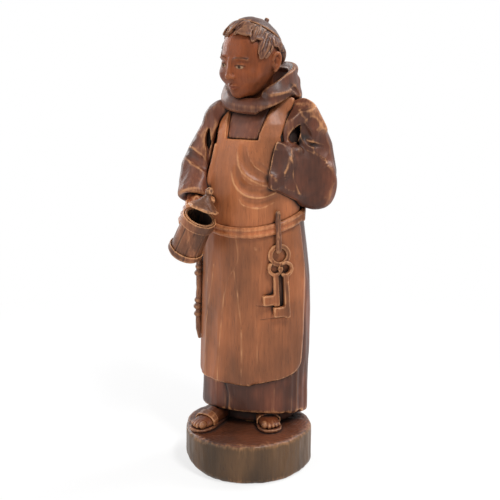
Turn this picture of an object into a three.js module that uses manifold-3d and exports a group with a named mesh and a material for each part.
// Carved wooden monk with a lidded tankard and a bunch of keys, standing on a slice of log.
// Millimetres, +Z up. The monk faces -Y and the figure's left side is +X.
// The origin is the middle of the underside of the log.
import * as THREE from "three";
import { mergeVertices } from "three/addons/utils/BufferGeometryUtils.js";
import Module from "manifold-3d";

const wasm = await Module();
wasm.setup();

// Clearance between pieces that are seated or glued together.
const GAP = 0.3;

// Slice of log.
const PLINTH_R = 57;
const PLINTH_H = 36.5;
const PLINTH_EDGE = 1.8;
const PLINTH_WORN = 8;

// Robe: heights above the log, with the width and the depth there.
const HEM_W = 99;
const HEM_D = 73;
const HIP_H = 140;
const HIP_W = 94;
const HIP_D = 75;
const WAIST_H = 196;
const WAIST_W = 85;
const WAIST_D = 73;
const CHEST_H = 240;
const CHEST_W = 84;
const CHEST_D = 70;
const SHOULDER_H = 274;
const SHOULDER_W = 68;
const SHOULDER_D = 54;
const NECK_H = 293;
const NECK_W = 34;
const NECK_D = 30;
const SET_BACK = 20.5;
const HEM_SHIFT = 1.5;
const HIP_SHIFT = 3.6;
const WAIST_SHIFT = 1.5;
const CHEST_SHIFT = 4.5;
const NECK_SHIFT = 6.5;
const LEAN_BACK = 2;
const HEM_LIFT = 7.6;
const HEM_TILT = 7.2;
const LEG_INSET = 13;
const LEG_H = 24;

// Apron, in degrees round the robe from the front.
const APRON_T = 2.6;
const APRON_RIGHT = -84;
const APRON_LEFT = 74;
const APRON_H = 41;
const APRON_CORNER = 17;
const BIB_H = 286;
const BIB_RIGHT = -66;
const BIB_LEFT = 72;
const NECKLINE_H = 261;
const NECKLINE_W = 30;
const NECKLINE_SIDE = -9;

// Waistband of two rolled strands.
const BAND_H = 10.5;
const BAND_T = 3.2;
const BAND_GROOVE = 1.5;
const BAND_MID = 195;
const BAND_SAG = 13.5;
const BAND_TILT = 3;

// Bunch of keys, hung at an angle round the robe.
const KEYS_AT = 36;
const KEY_RING_H = 162;
const KEY_RING_R = 10.4;
const KEY_RING_BAR = 4.4;
const KEY_T = 2.4;
const KEY_LIFT = 1.5;
const KEY_BOW_R = 7.2;
const KEY_BOW_HOLE = 4.1;
const KEY_SHANK_W = 5;
const FRONT_KEY_L = 44;
const BACK_KEY_L = 34;
const KEY_BIT_W = 10;
const KEY_BIT_H = 9;
const STRAP_W = 5.6;
const STRAP_DROP = 3;

// Knotted girdle end at the figure's right hip.
const GIRDLE_AT = -78;
const GIRDLE_R = 2.7;
const GIRDLE_KNOT_R = 4;
const GIRDLE_L = 112;

// Arms.
const SHOULDER_R = 18.5;
const SLEEVE_ROOT = 14;
const SLEEVE_RISE = 8;
const SLEEVE_OUT = 2;
const SHOULDER_LIFT = 5;
const ELBOW_R = 20;
const RIGHT_ELBOW_OUT = 49;
const RIGHT_ELBOW_H = 234;
const LEFT_ELBOW_OUT = 53;
const LEFT_ELBOW_H = 222;
const LEFT_CUFF_OUT = 27;
const LEFT_CUFF_H = 241;
const LEFT_CUFF_FRONT = 11;
const CUFF_R = 16.5;
const CUFF_OFF = 8;
const CUFF_DEPTH = 5;
const CUFF_LIP = 3;
const WRIST_R = 7.2;
const WRIST_SOCKET = 7;

// Tankard, its handle and its hinged lid.
const TANKARD_H = 41;
const TANKARD_BOTTOM_R = 14.2;
const TANKARD_TOP_R = 13.4;
const TANKARD_WALL = 2.2;
const TANKARD_FLOOR = 3;
const TANKARD_LEAN = 28;
const TANKARD_LEAN_TO = 25;
const HANDLE_TURN = 108;
const HANDLE_REACH = 25.4;
const HANDLE_BAR = 5.2;
const HOOP_T = 1.2;
const HOOP_W = 5.6;
const HOOP_EDGE = 1.8;
const PIN_R = 0.9;
const PIN_PLAY = 0.2;
const HINGE_OUT = 4.2;
const HINGE_UP = 3.2;
const EAR_T = 2.4;
const TONGUE_W = 3.6;
const LID_R = 13.8;
const LID_BRIM = 2.2;
const LID_H = 13;
const KNOB_R = 3.5;
const LID_OPEN = 22;

// Fist round the handle, held off the robe at an angle from the front.
const GRIP_AT = -58.7;
const GRIP_OUT = 15.2;
const GRIP_H = 197.8;
const FINGER_R = 3.2;
const FINGER_PITCH = 6;
const FIST_LOW = 15.2;
const PALM_W = 15.2;
const PALM_T = 14.8;
const PALM_OFF = 6;
const PALM_BACK = 3;

// Head.
const HEAD_W = 49;
const HEAD_D = 56;
const HEAD_H = 64;
const HEAD_RISE = 35;
const HEAD_FORWARD = 13;
const HEAD_ASIDE = 6;
const HEAD_TURN = -28;
const HEAD_NOD = 10;
const NECK_R = 13.5;
const EAR_R = 8;
const HAIR_T = 3.8;
const HAIRLINE = 4;
const HAIRLINE_TILT = 34;
const CAP_T = 2.8;
const CAP_TILT = 43;
const CAP_EDGE = 21.5;
const STEM_R = 2.2;
const STEM_L = 4.5;

// Cowl: rolled collar with the hood hanging behind.
const COWL_W = 50;
const COWL_D = 46;
const COWL_T = 10.5;
const COWL_FRONT_H = 15;
const COWL_BACK_H = 30;
const COWL_SEAT = 9;
const COWL_TILT = 2;
const HOOD_W = 48;
const HOOD_T = 16;
const HOOD_L = 74;

// Feet in sandals.
const FOOT_L = 42;
const FOOT_W = 18.5;
const FOOT_H = 11;
const SOLE_T = 3;
const SOLE_RIM = 1.4;
const SANDAL_STRAP_W = 7;
const SANDAL_STRAP_T = 1.5;
const RIGHT_TOE_OUT = 38;
const RIGHT_TOE_FRONT = 34;
const RIGHT_SPLAY = -22;
const LEFT_TOE_OUT = 27;
const LEFT_TOE_FRONT = 18.5;
const LEFT_SPLAY = 26;

// Dowels.
const NECK_DOWEL_R = 4;
const NECK_DOWEL_L = 30;
const ARM_DOWEL_R = 4;
const ARM_DOWEL_L = 30;
const BASE_DOWEL_R = 5;
const BASE_DOWEL_L = 46;
const BASE_DOWEL_APART = 26;

// Stained lime wood in the tones of the pieces.
const ROBE_WOOD = 0x5d3f35;
const APRON_WOOD = 0x955f49;
const SKIN_WOOD = 0x874f3c;
const HAIR_WOOD = 0x6b4a3c;
const PLINTH_WOOD = 0x644c38;
const PALE_WOOD = 0x8a6353;
const DOWEL_WOOD = 0xb48a5a;
const STEEL = 0x8c8c88;

const rad = THREE.MathUtils.degToRad;
const lerp = THREE.MathUtils.lerp;
const vec = (x, y, z) => new THREE.Vector3(x, y, z);

// Closed geometry from points and triangles.
const closed = (points, faces) => new THREE.BufferGeometry().setFromPoints(points).setIndex(faces);

// Skin over a row of closed loops; the ends are capped unless the row itself closes.
function loft(loops, endless = false) {
  const n = loops[0].length;
  const points = loops.flat();
  const rows = loops.length;
  const faces = [];
  for (let i = 0; i < (endless ? rows : rows - 1); i++)
    for (let j = 0; j < n; j++) {
      const k = (j + 1) % n;
      const a = i * n;
      const b = ((i + 1) % rows) * n;
      faces.push(a + j, a + k, b + k, a + j, b + k, b + j);
    }
  for (const i of endless ? [] : [0, rows - 1]) {
    const middle = vec(0, 0, 0);
    for (const p of loops[i]) middle.addScaledVector(p, 1 / n);
    points.push(middle);
    for (let j = 0; j < n; j++) {
      const pair = [i * n + j, i * n + ((j + 1) % n)];
      if (i === 0) pair.reverse();
      faces.push(...pair, points.length - 1);
    }
  }
  return closed(points, faces);
}

// Rounded limb through stations with a half width and a half height, kept upright to `up`.
function limb(stations, up, sides = 16) {
  const loops = stations.map(({ at, wide, high }, i) => {
    const before = stations[Math.max(i - 1, 0)].at;
    const after = stations[Math.min(i + 1, stations.length - 1)].at;
    const axis = after.clone().sub(before).normalize();
    const side = axis.clone().cross(up).normalize();
    const top = side.clone().cross(axis);
    return Array.from({ length: sides }, (_, j) => {
      const t = (2 * Math.PI * j) / sides;
      return at.clone().addScaledVector(side, wide * Math.cos(t)).addScaledVector(top, high * Math.sin(t));
    });
  });
  return loft(loops);
}

// Body for joining and cutting, turned outside out.
function solid(geometry) {
  const bare = geometry.clone();
  for (const name of Object.keys(bare.attributes)) if (name !== "position") bare.deleteAttribute(name);
  const merged = mergeVertices(bare, 1e-4);
  const p = merged.attributes.position;
  const corner = [vec(0, 0, 0), vec(0, 0, 0), vec(0, 0, 0)];
  const faces = [];
  let volume = 0;
  for (let i = 0; i < merged.index.count; i += 3) {
    const [a, b, c] = [0, 1, 2].map((k) => merged.index.getX(i + k));
    if (a === b || b === c || c === a) continue;
    faces.push([a, b, c]);
    [a, b, c].forEach((k, m) => corner[m].fromBufferAttribute(p, k));
    volume += corner[0].dot(corner[1].cross(corner[2]));
  }
  if (volume < 0) faces.forEach((f) => f.reverse());
  const mesh = new wasm.Mesh({
    numProp: 3,
    vertProperties: new Float32Array(p.array),
    triVerts: new Uint32Array(faces.flat()),
  });
  return new wasm.Manifold(mesh);
}

const join = (first, ...rest) => rest.reduce((body, other) => body.add(other), first);
const cut = (first, ...rest) => rest.reduce((body, other) => body.subtract(other), first);
const common = (first, ...rest) => rest.reduce((body, other) => body.intersect(other), first);

function geometryOf(body) {
  const { numProp, vertProperties, triVerts } = body.getMesh();
  const geometry = new THREE.BufferGeometry();
  geometry.setAttribute("position", new THREE.BufferAttribute(new Float32Array(vertProperties), numProp));
  geometry.setIndex(new THREE.BufferAttribute(new Uint32Array(triVerts), 1));
  geometry.computeVertexNormals();
  return geometry;
}

const monk = new THREE.Group();
monk.name = "wooden_monk";

function group(name, parent = monk) {
  const holder = new THREE.Group();
  holder.name = name;
  parent.add(holder);
  return holder;
}

function piece(name, body, color, parent = monk, roughness = 0.5, metalness = 0) {
  const material = new THREE.MeshStandardMaterial({ color, roughness, metalness });
  const mesh = new THREE.Mesh(geometryOf(body), material);
  mesh.name = name;
  parent.add(mesh);
}

// The same geometry seen from inside a group, or from outside it.
const into = (geometry, holder) => geometry.clone().applyMatrix4(holder.matrixWorld.clone().invert());
const outOf = (geometry, holder) => geometry.clone().applyMatrix4(holder.matrixWorld);

const box = (w, d, h, at) => new THREE.BoxGeometry(w, d, h).translate(at.x, at.y, at.z);
const ball = (w, d, h, at, sides = 20) =>
  new THREE.SphereGeometry(1, sides, Math.round(sides * 0.6))
    .rotateX(Math.PI / 2)
    .scale(w, d, h)
    .translate(at.x, at.y, at.z);
const turned = (profile, sides) =>
  new THREE.LatheGeometry(
    profile.map(([r, z]) => new THREE.Vector2(r, z)),
    sides,
  ).rotateX(Math.PI / 2);

// Rod of one radius between two points.
function rod(from, to, radius, sides = 18) {
  const along = to.clone().sub(from);
  const turn = new THREE.Quaternion().setFromUnitVectors(vec(0, 1, 0), along.clone().normalize());
  const middle = from.clone().lerp(to, 0.5);
  return new THREE.CylinderGeometry(radius, radius, along.length(), sides)
    .applyQuaternion(turn)
    .translate(middle.x, middle.y, middle.z);
}

// Robe surface: point at an angle from the front, a height and an offset out from the wood.
const robeShape = new THREE.CubicInterpolant(
  [0, HIP_H, WAIST_H, CHEST_H, SHOULDER_H, NECK_H],
  [
    [HEM_W, HEM_D, HEM_SHIFT],
    [HIP_W, HIP_D, HIP_SHIFT],
    [WAIST_W, WAIST_D, WAIST_SHIFT],
    [CHEST_W, CHEST_D, CHEST_SHIFT],
    [SHOULDER_W, SHOULDER_D, NECK_SHIFT],
    [NECK_W, NECK_D, NECK_SHIFT],
  ].flat(),
  3,
  [0, 0, 0],
);
const NECK_MID = vec(NECK_SHIFT, SET_BACK + LEAN_BACK, PLINTH_H + NECK_H);

function robePoint(angle, z, out = 0) {
  const h = z - PLINTH_H;
  const [w, d, x] = robeShape.evaluate(h);
  const y = lerp(SET_BACK, NECK_MID.y, h / NECK_H);
  return vec(x + (w / 2 + out) * Math.sin(angle), y - (d / 2 + out) * Math.cos(angle), z);
}

function robeLoop(zAt, out, sides = 32) {
  return Array.from({ length: sides }, (_, j) => {
    const angle = (2 * Math.PI * j) / sides;
    return robePoint(angle, zAt(angle), out);
  });
}

// Trunk of the robe with its hem raised in front, and the narrower block it stands on.
const between = (low, high, ...shares) => shares.map((share) => lerp(low, high, share));
const SKIRT_STEPS = [...between(LEG_H, HIP_H, 0.36, 0.69), HIP_H, ...between(HIP_H, WAIST_H, 0.32, 0.64)];
const BELLY_STEPS = between(WAIST_H, CHEST_H, 0.39, 0.73);
const CHEST_STEPS = between(CHEST_H, SHOULDER_H, 0.35, 0.7);
const [NECK_STEP, COLLAR_STEP] = between(SHOULDER_H, NECK_H, 0.32, 0.68);
const TORSO_STEPS = [...BELLY_STEPS, CHEST_H, ...CHEST_STEPS, SHOULDER_H, NECK_STEP];
const ROBE_STEPS = [
  LEG_H,
  ...SKIRT_STEPS,
  ...between(HIP_H, WAIST_H, 0.82),
  WAIST_H,
  ...between(WAIST_H, CHEST_H, 0.18),
  ...TORSO_STEPS,
  COLLAR_STEP,
  NECK_H,
];

function trunk(grow) {
  const hem = (angle) => PLINTH_H + HEM_LIFT + HEM_TILT * Math.cos(angle) - grow;
  const loops = [robeLoop(hem, grow)];
  for (const h of ROBE_STEPS) loops.push(robeLoop(() => PLINTH_H + h + (h === NECK_H ? grow : 0), grow));
  const legs = [PLINTH_H + GAP - grow, PLINTH_H + LEG_H].map((z) => robeLoop(() => z, grow - LEG_INSET));
  return join(solid(loft(loops)), solid(loft(legs)));
}

// Bent plate on the robe between two angles, two height curves and two offsets, with rows at the steps.
function plate(from, to, bottom, top, inner, outer, steps) {
  const columns = 17;
  const rows = steps.length + 3;
  const points = [];
  const faces = [];
  for (const out of [outer, inner])
    for (let i = 0; i <= columns; i++) {
      const angle = lerp(from, to, i / columns);
      const levels = steps.map((h) => PLINTH_H + h);
      const [low, high] = [bottom(angle), top(angle)];
      const heights = [low, (low + levels[0]) / 2, ...levels, (levels[levels.length - 1] + high) / 2, high];
      for (const z of heights) points.push(robePoint(angle, z, out));
    }
  const front = (i, j) => i * (rows + 1) + j;
  const back = (i, j) => front(columns + 1, 0) + front(i, j);
  const quad = (a, b, c, d) => faces.push(a, b, c, a, c, d);
  for (let i = 0; i < columns; i++) {
    for (let j = 0; j < rows; j++) {
      quad(front(i, j), front(i + 1, j), front(i + 1, j + 1), front(i, j + 1));
      quad(back(i, j), back(i, j + 1), back(i + 1, j + 1), back(i + 1, j));
    }
    quad(front(i, 0), back(i, 0), back(i + 1, 0), front(i + 1, 0));
    quad(front(i, rows), front(i + 1, rows), back(i + 1, rows), back(i, rows));
  }
  for (let j = 0; j < rows; j++) {
    quad(front(0, j), front(0, j + 1), back(0, j + 1), back(0, j));
    quad(front(columns, j), back(columns, j), back(columns, j + 1), front(columns, j + 1));
  }
  return closed(points, faces);
}

const bandMiddle = (angle) =>
  PLINTH_H + BAND_MID - BAND_SAG * Math.cos(angle) + BAND_TILT * Math.sin(angle);

// Apron hem with rounded corners.
function apronHem(angle) {
  const reach = HIP_W / 2;
  const toEdge = reach * Math.min(angle - rad(APRON_RIGHT), rad(APRON_LEFT) - angle);
  const bend = THREE.MathUtils.clamp(1 - toEdge / APRON_CORNER, 0, 1);
  return PLINTH_H + APRON_H + APRON_CORNER * (1 - Math.sqrt(1 - bend * bend));
}

// A plate grown for cutting also reaches into the wood behind it.
const BITE = 4;
const EDGE = GAP / (WAIST_W / 2);
const apronSkirt = (grow) =>
  plate(
    rad(APRON_RIGHT) - (grow ? EDGE : 0),
    rad(APRON_LEFT) + (grow ? EDGE : 0),
    (angle) => apronHem(THREE.MathUtils.clamp(angle, rad(APRON_RIGHT), rad(APRON_LEFT))) - grow,
    (angle) => bandMiddle(angle) - GAP / 2 + grow,
    grow ? -BITE : GAP,
    GAP + APRON_T + grow,
    SKIRT_STEPS,
  );
const neckline = (grow) => {
  const tall = NECK_H - NECKLINE_H + 20;
  const at = vec(NECK_MID.x + NECKLINE_SIDE, NECK_MID.y - 50, PLINTH_H + NECKLINE_H + tall / 2 + grow);
  return solid(box(NECKLINE_W - 2 * grow, 100, tall, at));
};
const apronBib = (grow) =>
  cut(
    solid(
      plate(
        rad(BIB_RIGHT) - (grow ? EDGE : 0),
        rad(BIB_LEFT) + (grow ? EDGE : 0),
        (angle) => bandMiddle(angle) + GAP / 2 - grow,
        () => PLINTH_H + BIB_H + grow,
        grow ? -BITE : GAP,
        GAP + APRON_T + grow,
        TORSO_STEPS,
      ),
    ),
    neckline(grow),
  );

// Waistband of two rolls with a groove between them, over the apron and then on the robe behind.
const BAND_STEPS = 40;
const BAND_EDGE = 1.5;

function waistband(grow) {
  const half = BAND_H / 2 + grow;
  const behind = APRON_LEFT + BAND_EDGE;
  const around = 360 + APRON_RIGHT - BAND_EDGE;
  const angles = [behind, behind + 4, around - 4, around];
  for (let i = 0; i < BAND_STEPS; i++) {
    const angle = (360 * i) / BAND_STEPS;
    if (angles.every((other) => Math.abs(other - angle) > 2)) angles.push(angle);
  }
  angles.sort((a, b) => a - b);
  const loops = angles.map((degrees) => {
    const bare = degrees > behind && degrees < around;
    const base = bare ? GAP : GAP + APRON_T + GAP;
    const section = [
      [grow ? -BITE : base, -half],
      [base + 0.45 * BAND_T + grow, -half],
      [base + BAND_T + grow, -0.62 * half],
      [base + BAND_T + grow, -0.38 * half],
      [base + BAND_T - BAND_GROOVE + grow, 0],
      [base + BAND_T + grow, 0.38 * half],
      [base + BAND_T + grow, 0.62 * half],
      [base + 0.45 * BAND_T + grow, half],
      [grow ? -BITE : base, half],
    ];
    const angle = rad(degrees);
    return section.map(([out, rise]) => robePoint(angle, bandMiddle(angle) + rise, out));
  });
  return solid(loft(loops, true));
}

// Dowels.
const SHOULDER_Z = PLINTH_H + SHOULDER_H - 6;
const shoulderMid = robePoint(0, SHOULDER_Z).setY(NECK_MID.y);
const chestHalf = SHOULDER_W / 2;
const dowels = {
  neck_dowel: [
    vec(NECK_MID.x, NECK_MID.y - 4, NECK_MID.z - NECK_DOWEL_L * 0.45),
    vec(NECK_MID.x, NECK_MID.y - 4, NECK_MID.z + NECK_DOWEL_L * 0.55),
    NECK_DOWEL_R,
  ],
  left_arm_dowel: [
    shoulderMid.clone().add(vec(chestHalf - ARM_DOWEL_L / 2, 0, -4)),
    shoulderMid.clone().add(vec(chestHalf + ARM_DOWEL_L / 2, 0, -4)),
    ARM_DOWEL_R,
  ],
  right_arm_dowel: [
    shoulderMid.clone().add(vec(-chestHalf + ARM_DOWEL_L / 2, 0, -4)),
    shoulderMid.clone().add(vec(-chestHalf - ARM_DOWEL_L / 2, 0, -4)),
    ARM_DOWEL_R,
  ],
};
for (const [name, side] of [["base_dowel_front", -1], ["base_dowel_back", 1]]) {
  const y = SET_BACK + (side * BASE_DOWEL_APART) / 2;
  dowels[name] = [
    vec(HEM_SHIFT, y, PLINTH_H - BASE_DOWEL_L / 2),
    vec(HEM_SHIFT, y, PLINTH_H + BASE_DOWEL_L / 2),
    BASE_DOWEL_R,
  ];
}

// Hole for a dowel, a little deeper and wider than the dowel.
function dowelHole(name) {
  const [from, to, radius] = dowels[name];
  const along = to.clone().sub(from).setLength(GAP);
  return rod(from.clone().sub(along), to.clone().add(along), radius + GAP);
}

for (const [name, [from, to, radius]] of Object.entries(dowels)) {
  piece(name, solid(rod(from, to, radius)), DOWEL_WOOD, monk, 0.7);
}

// Slice of log, not quite round.
const logLoops = [
  [0, PLINTH_EDGE, 1],
  [PLINTH_EDGE, 0, 1],
  [PLINTH_H - PLINTH_EDGE, 0, 0],
  [PLINTH_H, PLINTH_EDGE, 0],
].map(([z, inset, worn]) =>
  Array.from({ length: 40 }, (_, j) => {
    const t = (2 * Math.PI * j) / 40;
    const wear = worn * PLINTH_WORN * Math.max(0, Math.cos(t - rad(205))) ** 3;
    const bark = 0.7 * Math.sin(3 * t + 1) + 0.5 * Math.sin(5 * t);
    const r = PLINTH_R - inset + bark - (z === 0 ? wear : 0);
    return vec(r * Math.cos(t), r * Math.sin(t), z === 0 ? z : z + wear);
  }),
);
const log = cut(
  solid(loft(logLoops)),
  solid(dowelHole("base_dowel_front")),
  solid(dowelHole("base_dowel_back")),
);
piece("plinth", log, PLINTH_WOOD, monk, 0.75);

const trunkTool = trunk(GAP);
const robe = cut(trunk(0), ...Object.keys(dowels).map((name) => solid(dowelHole(name))));
piece("robe", robe, ROBE_WOOD);

const skirtTool = solid(apronSkirt(GAP));
const bibTool = apronBib(GAP);
piece("apron_skirt", solid(apronSkirt(0)), APRON_WOOD);
piece("apron_bib", apronBib(0), APRON_WOOD);

const bandTool = waistband(GAP);
piece("waistband", waistband(0), APRON_WOOD);

// Bunch of keys: flat outlines in a frame that lies on the apron.
const keys = group("keys");
const keyTop = robePoint(rad(KEYS_AT), PLINTH_H + KEY_RING_H + 40, GAP + APRON_T);
const keyFoot = robePoint(rad(KEYS_AT), PLINTH_H + KEY_RING_H - 50, GAP + APRON_T);
const keySide = robePoint(rad(KEYS_AT + 1), keyFoot.z, GAP + APRON_T).sub(keyFoot).normalize();
const keyUp = keyTop.clone().sub(keyFoot).normalize();
const keyIn = keyUp.clone().cross(keySide).normalize();
keys.applyMatrix4(new THREE.Matrix4().makeBasis(keyIn.clone().cross(keyUp), keyIn, keyUp));
keys.position.copy(robePoint(rad(KEYS_AT), PLINTH_H + KEY_RING_H, GAP + APRON_T));
keys.updateMatrixWorld(true);

// Outline raised off the apron between two levels.
const raised = (shape, low, high) =>
  new THREE.ExtrudeGeometry(shape, { depth: high - low, bevelEnabled: false, curveSegments: 9 })
    .rotateX(Math.PI / 2)
    .translate(0, -low, 0);

function circle(x, z, radius) {
  return new THREE.Shape().absarc(x, z, radius, 0, 2 * Math.PI);
}

function bar(x0, x1, z0, z1) {
  const shape = new THREE.Shape();
  shape.moveTo(x0, z0);
  shape.lineTo(x1, z0);
  shape.lineTo(x1, z1);
  shape.lineTo(x0, z1);
  return shape;
}

const KEY_BED = -2;
const ringBody = (grow) =>
  cut(
    solid(raised(circle(0, 0, KEY_RING_R + grow), KEY_BED, KEY_T + grow)),
    solid(raised(circle(0, 0, KEY_RING_R - KEY_RING_BAR - grow), KEY_BED - 1, KEY_T + 1)),
  );

// A key with its bow over the ring, its shank hanging and its bit to one side.
function keyBody(x, z, length, high, grow) {
  const half = KEY_SHANK_W / 2 + grow;
  const end = z - length - grow;
  const bit = end + 1.5;
  return join(
    cut(
      solid(raised(circle(x, z, KEY_BOW_R + grow), KEY_BED, high + grow)),
      solid(raised(circle(x, z, KEY_BOW_HOLE - grow), KEY_BED - 1, high + 2)),
    ),
    solid(raised(bar(x - half, x + half, end, z - KEY_BOW_R + 1), KEY_BED, high + grow)),
    solid(raised(bar(x - half - KEY_BIT_W, x, bit, bit + KEY_BIT_H + 2 * grow), KEY_BED, high + grow)),
  );
}

const strapHalf = STRAP_W / 2;
const bandAtKeys = bandMiddle(rad(KEYS_AT)) - PLINTH_H - KEY_RING_H;
const strapTop = bandAtKeys + BAND_H / 2 + 3;
const strapFoot = KEY_RING_R - KEY_RING_BAR - STRAP_DROP;
const strapShape = new THREE.Shape();
strapShape.moveTo(-strapHalf, strapTop);
strapShape.lineTo(-strapHalf, strapFoot + strapHalf);
strapShape.lineTo(0, strapFoot);
strapShape.lineTo(strapHalf, strapFoot + strapHalf);
strapShape.lineTo(strapHalf, strapTop);

const keySeat = [skirtTool, bibTool, bandTool].map((tool) => solid(into(geometryOf(tool), keys)));
const frontAt = [4.2, -KEY_RING_R - 1.6];
const backAt = [-4.6, -KEY_RING_R - 0.6];
const backKey = (grow) => keyBody(...backAt, BACK_KEY_L, KEY_T + KEY_LIFT, grow);
const frontKey = (grow) => keyBody(...frontAt, FRONT_KEY_L, KEY_T + 2 * KEY_LIFT, grow);
const strapHigh = GAP + BAND_T + GAP + KEY_LIFT + 0.6;
const strapBody = cut(solid(raised(strapShape, KEY_BED, strapHigh)), ringBody(GAP), ...keySeat);
piece("key_ring", cut(ringBody(0), ...keySeat), APRON_WOOD, keys);
piece("back_key", cut(backKey(0), ringBody(GAP), ...keySeat), APRON_WOOD, keys);
piece("front_key", cut(frontKey(0), ringBody(GAP), backKey(GAP), ...keySeat), APRON_WOOD, keys);
piece("key_strap", strapBody, ROBE_WOOD, keys);

// Girdle end: a cord with two knots and a pointed tail, hanging against the robe.
const girdle = group("girdle");
const girdleTop = bandMiddle(rad(GIRDLE_AT)) - BAND_H / 2 - GAP;
const girdleMid = robePoint(rad(GIRDLE_AT), girdleTop - GIRDLE_L / 2, GAP + APRON_T + GIRDLE_R);
girdle.position.set(girdleMid.x, girdleMid.y, girdleTop);
girdle.updateMatrixWorld(true);
const GIRDLE_KNOTS = [
  [38, 10],
  [68, 17],
];
function girdleBody(grow) {
  const knots = GIRDLE_KNOTS.flatMap(([from, long]) => [
    [GIRDLE_R, -from],
    [GIRDLE_KNOT_R, -from - GIRDLE_R],
    [GIRDLE_KNOT_R, -from - long + GIRDLE_R],
    [GIRDLE_R, -from - long],
  ]);
  const tail = [
    [1.25 * GIRDLE_R, -0.82 * GIRDLE_L],
    [0.5 * GIRDLE_R, -GIRDLE_L + GIRDLE_R],
  ];
  const cord = [[GIRDLE_R, 0], ...knots, ...tail].map(([r, z]) => [r + grow, z]);
  return solid(turned([[0, grow], [GIRDLE_R + grow, grow], ...cord, [0, -GIRDLE_L - grow]], 14));
}
const girdleSeat = solid(into(geometryOf(skirtTool), girdle));
piece("girdle_end", cut(girdleBody(0), girdleSeat), PALE_WOOD, girdle);
const girdleTool = solid(outOf(geometryOf(girdleBody(GAP)), girdle));

// Tankard frame: leaning forward and to the figure's left, with the handle turned towards the fist.
const tankard = group("tankard");
const leanAxis = vec(0, 1, 0).applyAxisAngle(vec(0, 0, 1), rad(-TANKARD_LEAN_TO));
tankard.quaternion
  .setFromAxisAngle(leanAxis, rad(TANKARD_LEAN))
  .multiply(new THREE.Quaternion().setFromAxisAngle(vec(0, 0, 1), rad(HANDLE_TURN)));
const PALM = vec(HANDLE_REACH + PALM_OFF, PALM_BACK, FIST_LOW + 2.17 * FINGER_PITCH);
const grip = robePoint(rad(GRIP_AT), PLINTH_H + GRIP_H, GRIP_OUT);
tankard.position.copy(grip).sub(PALM.clone().applyQuaternion(tankard.quaternion));
tankard.updateMatrixWorld(true);

const tankardSide = (z) => lerp(TANKARD_BOTTOM_R, TANKARD_TOP_R, z / TANKARD_H);
const mug = turned(
  [
    [0, 0],
    [TANKARD_BOTTOM_R, 0],
    [TANKARD_TOP_R, TANKARD_H],
    [TANKARD_TOP_R - TANKARD_WALL, TANKARD_H],
    [TANKARD_BOTTOM_R - TANKARD_WALL, TANKARD_FLOOR],
    [0, TANKARD_FLOOR],
  ],
  28,
);
const mugOutside = (grow) =>
  turned(
    [
      [0, -1],
      [TANKARD_BOTTOM_R + grow, 0],
      [TANKARD_TOP_R + grow, TANKARD_H],
      [0, TANKARD_H + 1],
    ],
    28,
  );
piece("tankard_body", solid(mug), PALE_WOOD, tankard);

function hoop(low, grow) {
  const high = low + HOOP_W;
  const profile = [
    [tankardSide(low) + GAP - grow, low - grow],
    [tankardSide(low) + GAP + HOOP_T + grow, low - grow],
    [tankardSide(high) + GAP + HOOP_T + grow, high + grow],
    [tankardSide(high) + GAP - grow, high + grow],
  ];
  return solid(turned([...profile, profile[0]], 28));
}
const upperLow = TANKARD_H - HOOP_EDGE - HOOP_W;
piece("upper_hoop", hoop(upperLow, 0), PALE_WOOD, tankard);
piece("lower_hoop", hoop(HOOP_EDGE, 0), PALE_WOOD, tankard);

// Handle: bent bar with a bracket at the rim that carries the two ears of the hinge.
const hingeX = TANKARD_TOP_R + HINGE_OUT;
const hingeZ = TANKARD_H + HINGE_UP;
const earR = PIN_R + 1.7;
const earOut = TONGUE_W / 2 + PIN_PLAY + EAR_T;
const pinHole = (radius) =>
  solid(rod(vec(hingeX, -earOut - 5, hingeZ), vec(hingeX, earOut + 5, hingeZ), radius, 16));

function handle(grow) {
  const half = HANDLE_BAR / 2 + grow;
  const path = [
    [TANKARD_TOP_R + 2, TANKARD_H - 3.2],
    [HANDLE_REACH - 3.5, TANKARD_H - 2.8],
    [HANDLE_REACH - 0.4, TANKARD_H - 6],
    [HANDLE_REACH, TANKARD_H - 12],
    [HANDLE_REACH - 0.4, 15],
    [HANDLE_REACH - 3.6, 9],
    [TANKARD_BOTTOM_R - 1, 8.6],
  ].map(([x, z]) => vec(x, 0, z));
  const bent = limb(
    path.map((at) => ({ at, wide: half, high: half })),
    vec(0, 1, 0),
    10,
  );
  const bracket = box(8 + 2 * grow, 2 * (earOut + grow), 5 + 2 * grow, vec(hingeX, 0, TANKARD_H - 2.6));
  const ears = [-1, 1].map((side) => {
    const near = side * (earOut - EAR_T - grow);
    const far = side * (earOut + grow);
    const round = rod(vec(hingeX, near, hingeZ), vec(hingeX, far, hingeZ), earR + grow, 16);
    const web = box(2 * (earR + grow), EAR_T + 2 * grow, 4, vec(hingeX, (near + far) / 2, hingeZ - 2));
    return join(solid(round), solid(web));
  });
  return join(solid(bent), solid(bracket), ...ears);
}
const mugSeat = [solid(mugOutside(GAP)), hoop(upperLow, GAP), hoop(HOOP_EDGE, GAP)];
const tongueRoom = solid(
  rod(
    vec(hingeX, -TONGUE_W / 2 - PIN_PLAY, hingeZ),
    vec(hingeX, TONGUE_W / 2 + PIN_PLAY, hingeZ),
    earR + GAP,
    16,
  ),
);
const handleBody = cut(handle(0), ...mugSeat, pinHole(PIN_R + PIN_PLAY), tongueRoom);
piece("tankard_handle", handleBody, PALE_WOOD, tankard);
const pin = rod(vec(hingeX, -earOut, hingeZ), vec(hingeX, earOut, hingeZ), PIN_R, 16);
piece("lid_pin", solid(pin), STEEL, tankard, 0.35, 0.9);

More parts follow.
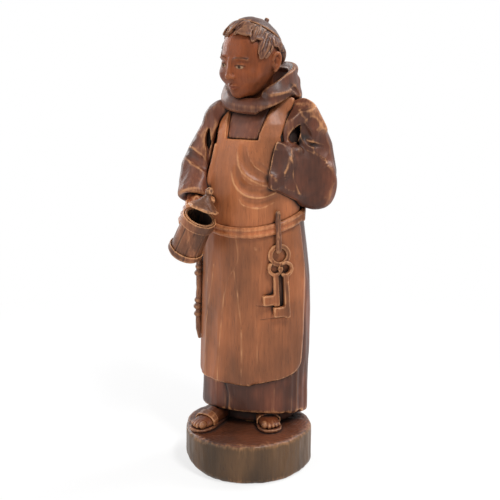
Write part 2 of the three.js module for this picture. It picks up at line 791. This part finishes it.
// Lid, drawn shut in the frame of its hinge and then opened about the pin.
const lid = group("lid", tankard);
lid.position.set(hingeX, 0, hingeZ);
lid.rotation.y = rad(LID_OPEN);
const brim = TANKARD_H + GAP - hingeZ;
const lidProfile = [
  [0, 0],
  [LID_R, 0],
  [LID_R, LID_BRIM],
  [0.78 * LID_R, LID_BRIM + 2.4],
  [0.46 * LID_R, LID_BRIM + 5.6],
  [0.6 * KNOB_R, LID_H],
  [KNOB_R, LID_H + 0.7 * KNOB_R],
  [KNOB_R, LID_H + 1.3 * KNOB_R],
  [0.5 * KNOB_R, LID_H + 2 * KNOB_R],
  [0, LID_H + 2.1 * KNOB_R],
];
const cover = turned(lidProfile, 28).translate(-hingeX, 0, brim);
const tongueFrom = -hingeX + 0.6 * LID_R;
const tongueMid = vec(tongueFrom / 2, 0, brim + 1.2 * LID_BRIM);
const tongue = box(-tongueFrom, TONGUE_W, 2 * LID_BRIM, tongueMid);
const knuckle = rod(vec(0, -TONGUE_W / 2, 0), vec(0, TONGUE_W / 2, 0), earR, 16);
const lidHole = rod(vec(0, -earOut - 5, 0), vec(0, earOut + 5, 0), PIN_R + PIN_PLAY, 16);
const lidBody = cut(join(solid(cover), solid(tongue), solid(knuckle)), solid(lidHole));
piece("tankard_lid", lidBody, PALE_WOOD, lid);

// Forearm from the grip back to the elbow, with the wrist that sits in the cuff.
const armTop = vec(-RIGHT_ELBOW_OUT + HEM_SHIFT, SET_BACK, PLINTH_H + RIGHT_ELBOW_H);
const armBack = armTop.clone().sub(grip).normalize();
const cuffAt = grip.clone().addScaledVector(armBack, CUFF_OFF);
const wristEnd = cuffAt.clone().addScaledVector(armBack, WRIST_SOCKET);
const slim = 0.88 * WRIST_R;
const wrist = (grow) =>
  limb(
    [
      { at: grip.clone().addScaledVector(armBack, -0.35 * WRIST_R), wide: slim, high: slim },
      { at: cuffAt, wide: WRIST_R + grow, high: WRIST_R + grow },
      { at: wristEnd.clone().addScaledVector(armBack, grow), wide: WRIST_R + grow, high: WRIST_R + grow },
    ],
    vec(1, 0, 0),
  );

// Sleeves.
const rightShoulder = vec(shoulderMid.x - SHOULDER_W / 2 - SLEEVE_OUT, shoulderMid.y, SHOULDER_Z);
const leftShoulder = vec(shoulderMid.x + SHOULDER_W / 2 + SLEEVE_OUT, shoulderMid.y, SHOULDER_Z);

function rightSleeve(grow) {
  const station = (at, wide, high) => ({ at, wide: wide + grow, high: high + grow });
  const root = rightShoulder.clone().add(vec(SLEEVE_ROOT, 0, SLEEVE_RISE));
  const middle = rightShoulder.clone().lerp(armTop, 0.5).add(vec(-0.1 * ELBOW_R, 0, 0.1 * ELBOW_R));
  const upper = [
    station(root, 0.73 * SHOULDER_R, 0.73 * SHOULDER_R),
    station(rightShoulder.clone().add(vec(0.1 * SHOULDER_R, 0, 0)), SHOULDER_R, SHOULDER_R),
    station(middle, SHOULDER_R, 0.97 * SHOULDER_R),
    station(armTop, 0.85 * ELBOW_R, 0.85 * ELBOW_R),
  ];
  const lower = [
    station(armTop.clone().addScaledVector(armBack, 0.3 * ELBOW_R), 0.7 * ELBOW_R, 0.8 * ELBOW_R),
    station(armTop, 0.85 * ELBOW_R, 0.9 * ELBOW_R),
    station(armTop.clone().lerp(cuffAt, 0.5), 0.82 * ELBOW_R, 0.85 * ELBOW_R),
    station(cuffAt.clone().addScaledVector(armBack, -grow), CUFF_R, CUFF_R),
  ];
  return join(solid(limb(upper, vec(0, 1, 0))), solid(limb(lower, vec(1, 0, 0))));
}

function leftSleeve(grow) {
  const station = (at, wide, high) => ({ at, wide: wide + grow, high: high + grow });
  const elbow = vec(LEFT_ELBOW_OUT + HEM_SHIFT, SET_BACK + 0.2 * ELBOW_R, PLINTH_H + LEFT_ELBOW_H);
  const cuff = vec(LEFT_CUFF_OUT, -LEFT_CUFF_FRONT, PLINTH_H + LEFT_CUFF_H);
  const root = leftShoulder.clone().add(vec(-SLEEVE_ROOT, 0, SLEEVE_RISE));
  const middle = leftShoulder.clone().lerp(elbow, 0.5).add(vec(0.15 * ELBOW_R, 0, 0.2 * ELBOW_R));
  const upper = [
    station(root, 0.73 * SHOULDER_R, 0.73 * SHOULDER_R),
    station(leftShoulder.clone().add(vec(SLEEVE_OUT, 0, SHOULDER_LIFT)), SHOULDER_R, SHOULDER_R),
    station(middle, 0.95 * ELBOW_R, 0.95 * ELBOW_R),
    station(elbow.clone().add(vec(-0.05 * ELBOW_R, 0.05 * ELBOW_R, 0.3 * ELBOW_R)), ELBOW_R, 0.95 * ELBOW_R),
  ];
  const along = cuff.clone().sub(elbow).normalize();
  const lower = [
    station(elbow.clone().addScaledVector(along, -0.8 * ELBOW_R), 0.4 * ELBOW_R, 0.6 * ELBOW_R),
    station(elbow.clone().addScaledVector(along, -0.55 * ELBOW_R), 0.75 * ELBOW_R, 0.95 * ELBOW_R),
    station(elbow, 0.925 * ELBOW_R, 1.25 * ELBOW_R),
    station(elbow.clone().lerp(cuff, 0.5), 0.8 * ELBOW_R, 1.225 * ELBOW_R),
    station(cuff, 0.76 * CUFF_R, 1.27 * CUFF_R),
  ];
  return join(solid(limb(upper, vec(0, 1, 0))), solid(limb(lower, vec(0, 0, 1))));
}

// Hollow of the right cuff, narrowing to the wrist.
function cuffRoom(shrink) {
  const mouth = CUFF_R - CUFF_LIP - shrink;
  const throat = 1.12 * WRIST_R - shrink;
  const stations = [
    { at: cuffAt.clone().addScaledVector(armBack, -2 * GAP), wide: mouth, high: mouth },
    { at: cuffAt.clone().addScaledVector(armBack, CUFF_DEPTH), wide: throat, high: throat },
  ];
  return solid(limb(stations, vec(1, 0, 0)));
}
const rightBody = cut(
  rightSleeve(0),
  trunkTool,
  bibTool,
  bandTool,
  girdleTool,
  cuffRoom(0),
  solid(wrist(GAP)),
  solid(dowelHole("right_arm_dowel")),
);
piece("right_sleeve", rightBody, ROBE_WOOD);
const leftBody = cut(leftSleeve(0), trunkTool, bibTool, bandTool, solid(dowelHole("left_arm_dowel")));
piece("left_sleeve", leftBody, ROBE_WOOD);

// Fist: four fingers round the bar, palm behind, thumb beside the hinge, wrist up into the cuff.
const bars = handle(GAP);
const thumbZ = TANKARD_H + 1.7 * FINGER_R;

function fist() {
  const at = (x, y, z) => vec(HANDLE_REACH + x * FINGER_R, y * FINGER_R, z);
  const fingers = [0, 1, 2, 3].map((i) => {
    const bend = [
      [2.19, 2.03],
      [0.94, 2.94],
      [-0.81, 2.69],
      [-2.06, 1.44],
      [-2, -0.44],
      [-0.75, -1.5],
    ];
    const z = FIST_LOW + i * FINGER_PITCH;
    const path = bend.map(([x, y]) => ({ at: at(x, y, z), wide: FINGER_R, high: FINGER_R }));
    return solid(limb(path, vec(0, 0, 1), 8));
  });
  const thumb = [
    [2.5, -0.31, -2.5, 1.06],
    [0.94, -1.69, -0.63, 1.06],
    [-0.81, -2.5, 0.12, 1],
    [-1.88, -2.63, 0.06, 0.75],
  ].map(([x, y, z, r]) => ({ at: at(x, y, thumbZ + z * FINGER_R), wide: r * FINGER_R, high: r * FINGER_R }));
  const palm = ball(PALM_W / 2, PALM_T / 2, 2.33 * FINGER_PITCH, PALM, 14);
  return join(solid(palm), solid(limb(thumb, vec(0, 0, 1), 8)), ...fingers);
}
const inTankard = (body) => solid(into(geometryOf(body), tankard));
const cuffWall = inTankard(cut(rightSleeve(GAP), cuffRoom(GAP)));
const clothes = [skirtTool, bibTool, bandTool].map(inTankard);
const hand = cut(join(cut(fist(), cuffWall), solid(into(wrist(0), tankard))), bars, ...mugSeat, ...clothes);
piece("right_hand", hand, SKIN_WOOD, tankard);

// Head frame, turned to the figure's right and bowed.
const headHolder = group("head_group");
headHolder.position.set(NECK_MID.x - HEAD_ASIDE, NECK_MID.y - HEAD_FORWARD, NECK_MID.z + HEAD_RISE);
headHolder.rotation.set(rad(HEAD_NOD), 0, rad(HEAD_TURN), "ZXY");
headHolder.updateMatrixWorld(true);

// Skull that narrows to the jaw, offset outwards by `grow`.
function skull(grow) {
  const shape = ball(1, 1, 1, vec(0, 0, 0), 22);
  const p = shape.attributes.position;
  for (let i = 0; i < p.count; i++) {
    const low = Math.max(0, -p.getZ(i));
    const front = Math.max(0, -p.getY(i));
    p.setXYZ(
      i,
      p.getX(i) * (HEAD_W / 2 + grow) * (1 - 0.2 * low * low),
      p.getY(i) * (HEAD_D / 2 + grow) * (1 - 0.08 * low * front),
      p.getZ(i) * (HEAD_H / 2 + grow),
    );
  }
  return solid(shape);
}

const ears = (grow) =>
  [-1, 1].map((side) => {
    const at = vec(side * (HEAD_W / 2 + 0.4), 4, -3);
    return solid(ball(2.6 + grow, 0.62 * EAR_R + grow, EAR_R + grow, at, 12));
  });

const nose = () => {
  const y = -HEAD_D / 2;
  const loops = [
    [4, 1.4, y + 1, y - 1.2],
    [-3, 2.4, y + 1, y - 3.4],
    [-8.5, 4.2, y + 3, y - 6.2],
    [-11.5, 3.4, y + 3, y - 3.4],
  ].map(([z, half, back, front]) => [
    vec(-half, back, z),
    vec(-0.55 * half, front, z),
    vec(0.55 * half, front, z),
    vec(half, back, z),
  ]);
  return solid(loft(loops));
};

const neckFoot = vec(NECK_MID.x, NECK_MID.y - 4, NECK_MID.z - 4);
const neckTop = headHolder.position.clone().add(vec(0, 4, -12));
const neck = (grow) => solid(into(rod(neckFoot, neckTop, NECK_R + grow, 24), headHolder));
const inHead = (body) => solid(into(geometryOf(body), headHolder));
const headBody = cut(
  join(skull(0), nose(), neck(0), ...ears(0)),
  inHead(trunkTool),
  solid(into(dowelHole("neck_dowel"), headHolder)),
);
piece("head", headBody, SKIN_WOOD, headHolder);

// Everything on one side of a plane tilted back about the X axis, in the frame of the head.
const above = (tilt, distance) => solid(box(200, 200, 200, vec(0, 0, 100 + distance)).rotateX(-rad(tilt)));
const scalp = (thick) => cut(skull(GAP + thick), skull(GAP), neck(GAP), ...ears(GAP));
const belowCap = common(scalp(HAIR_T), above(HAIRLINE_TILT, HAIRLINE));
const hairBody = cut(belowCap, above(CAP_TILT, CAP_EDGE - GAP));
piece("hair", hairBody, HAIR_WOOD, headHolder);
const stemRoot = vec(0, 0, 1).applyAxisAngle(vec(1, 0, 0), -rad(CAP_TILT));
const crown = stemRoot.clone().multiply(vec(0, HEAD_D / 2, HEAD_H / 2)).length() + GAP + CAP_T;
const stemLow = stemRoot.clone().multiplyScalar(crown - 1.2);
const stemHigh = stemRoot.clone().multiplyScalar(crown + STEM_L);
const stemSocket = solid(rod(stemLow.clone().addScaledVector(stemRoot, -GAP), stemHigh, STEM_R + GAP, 12));
const capBody = cut(common(scalp(CAP_T), above(CAP_TILT, CAP_EDGE)), stemSocket);
piece("skullcap", capBody, HAIR_WOOD, headHolder);
piece("cap_stem", solid(rod(stemLow, stemHigh, STEM_R, 12)), HAIR_WOOD, headHolder);

// Cowl.
const cowlLoops = Array.from({ length: 32 }, (_, i) => {
  const angle = (2 * Math.PI * i) / 32;
  const back = (1 - Math.cos(angle)) / 2;
  const low = NECK_MID.z - COWL_SEAT - COWL_TILT * Math.cos(angle);
  const high = low + lerp(COWL_FRONT_H, COWL_BACK_H, back);
  const section = [
    [0, low],
    [0.4, high - 3],
    [3.6, high],
    [0.75 * COWL_T, high - 3.2],
    [COWL_T, lerp(low, high, 0.5)],
    [COWL_T - 0.8, low + 2.4],
    [0.55 * COWL_T, low],
  ];
  return section.map(([out, z]) =>
    vec(
      NECK_MID.x + (COWL_W / 2 + out) * Math.sin(angle),
      NECK_MID.y - (COWL_D / 2 + out) * Math.cos(angle),
      z,
    ),
  );
});
const hoodY = NECK_MID.y + COWL_D / 2 + COWL_T - 1;
const hoodZ = NECK_MID.z + COWL_BACK_H - 6 - HOOD_L / 2;
const hood = ball(HOOD_W / 2, HOOD_T / 2, HOOD_L / 2, vec(NECK_MID.x, hoodY, hoodZ), 18);
const headParts = [skull(GAP), neck(GAP), ...ears(GAP)];
const headRoom = headParts.map((body) => solid(outOf(geometryOf(body), headHolder)));
const cowlBody = cut(
  join(solid(loft(cowlLoops, true)), solid(hood)),
  trunkTool,
  bibTool,
  rightSleeve(GAP),
  leftSleeve(GAP),
  ...headRoom,
);
piece("cowl", cowlBody, ROBE_WOOD);

// Feet: each drawn with its toe at the origin, pointing along -Y.
const FOOT_TIP = FOOT_L * 0.06;

function soleOutline(rim) {
  const half = FOOT_W / 2 + rim;
  const shape = new THREE.Shape();
  shape.moveTo(0, -FOOT_TIP - rim);
  shape.bezierCurveTo(half, -FOOT_TIP - rim, half + 1, FOOT_L * 0.16, half, FOOT_L * 0.34);
  shape.bezierCurveTo(0.72 * half, FOOT_L * 0.6, 0.78 * half, FOOT_L, 0, FOOT_L);
  shape.bezierCurveTo(-0.78 * half, FOOT_L, -0.72 * half, FOOT_L * 0.6, -half, FOOT_L * 0.34);
  shape.bezierCurveTo(-half - 1, FOOT_L * 0.16, -half, -FOOT_TIP - rim, 0, -FOOT_TIP - rim);
  return shape;
}

function footBody(grow) {
  const low = SOLE_T + GAP;
  const loops = [
    [0, 0.6, 0.42],
    [0.08, 0.86, 0.5],
    [0.25, 1, 0.62],
    [0.5, 0.92, 0.95],
    [0.75, 0.8, 1.2],
    [1, 0.7, 1.3],
  ].map(([t, wide, tall], i) => {
    const half = (wide * FOOT_W) / 2 + grow;
    const high = low + tall * FOOT_H + grow;
    const y = t * FOOT_L - (i === 0 ? grow : 0);
    return [
      [-half, low - grow],
      [-half, lerp(low, high, 0.5)],
      [-0.72 * half, lerp(low, high, 0.86)],
      [-0.3 * half, high],
      [0.3 * half, high],
      [0.72 * half, lerp(low, high, 0.86)],
      [half, lerp(low, high, 0.5)],
      [half, low - grow],
    ].map(([x, z]) => vec(x, y, z));
  });
  return solid(loft(loops));
}

function foot(side, x, y, splay) {
  const holder = group(side + "_foot_group");
  holder.position.set(x, y, PLINTH_H + GAP);
  holder.rotation.z = rad(splay);
  holder.updateMatrixWorld(true);
  const seat = solid(into(geometryOf(trunkTool), holder));
  const extrude = { depth: SOLE_T, bevelEnabled: false, curveSegments: 7 };
  const sole = solid(new THREE.ExtrudeGeometry(soleOutline(SOLE_RIM), extrude));
  const from = FOOT_L * 0.36;
  const slab = solid(box(60, SANDAL_STRAP_W, 60, vec(0, from, SOLE_T + GAP + 30)));
  const band = cut(common(footBody(GAP + SANDAL_STRAP_T), slab), footBody(GAP), seat);
  piece(side + "_sole", cut(sole, seat), ROBE_WOOD, holder);
  piece(side + "_foot", cut(footBody(0), seat), SKIN_WOOD, holder);
  piece(side + "_strap", band, APRON_WOOD, holder);
}
foot("right", -RIGHT_TOE_OUT, -RIGHT_TOE_FRONT, RIGHT_SPLAY);
foot("left", LEFT_TOE_OUT, -LEFT_TOE_FRONT, LEFT_SPLAY);

export default monk;
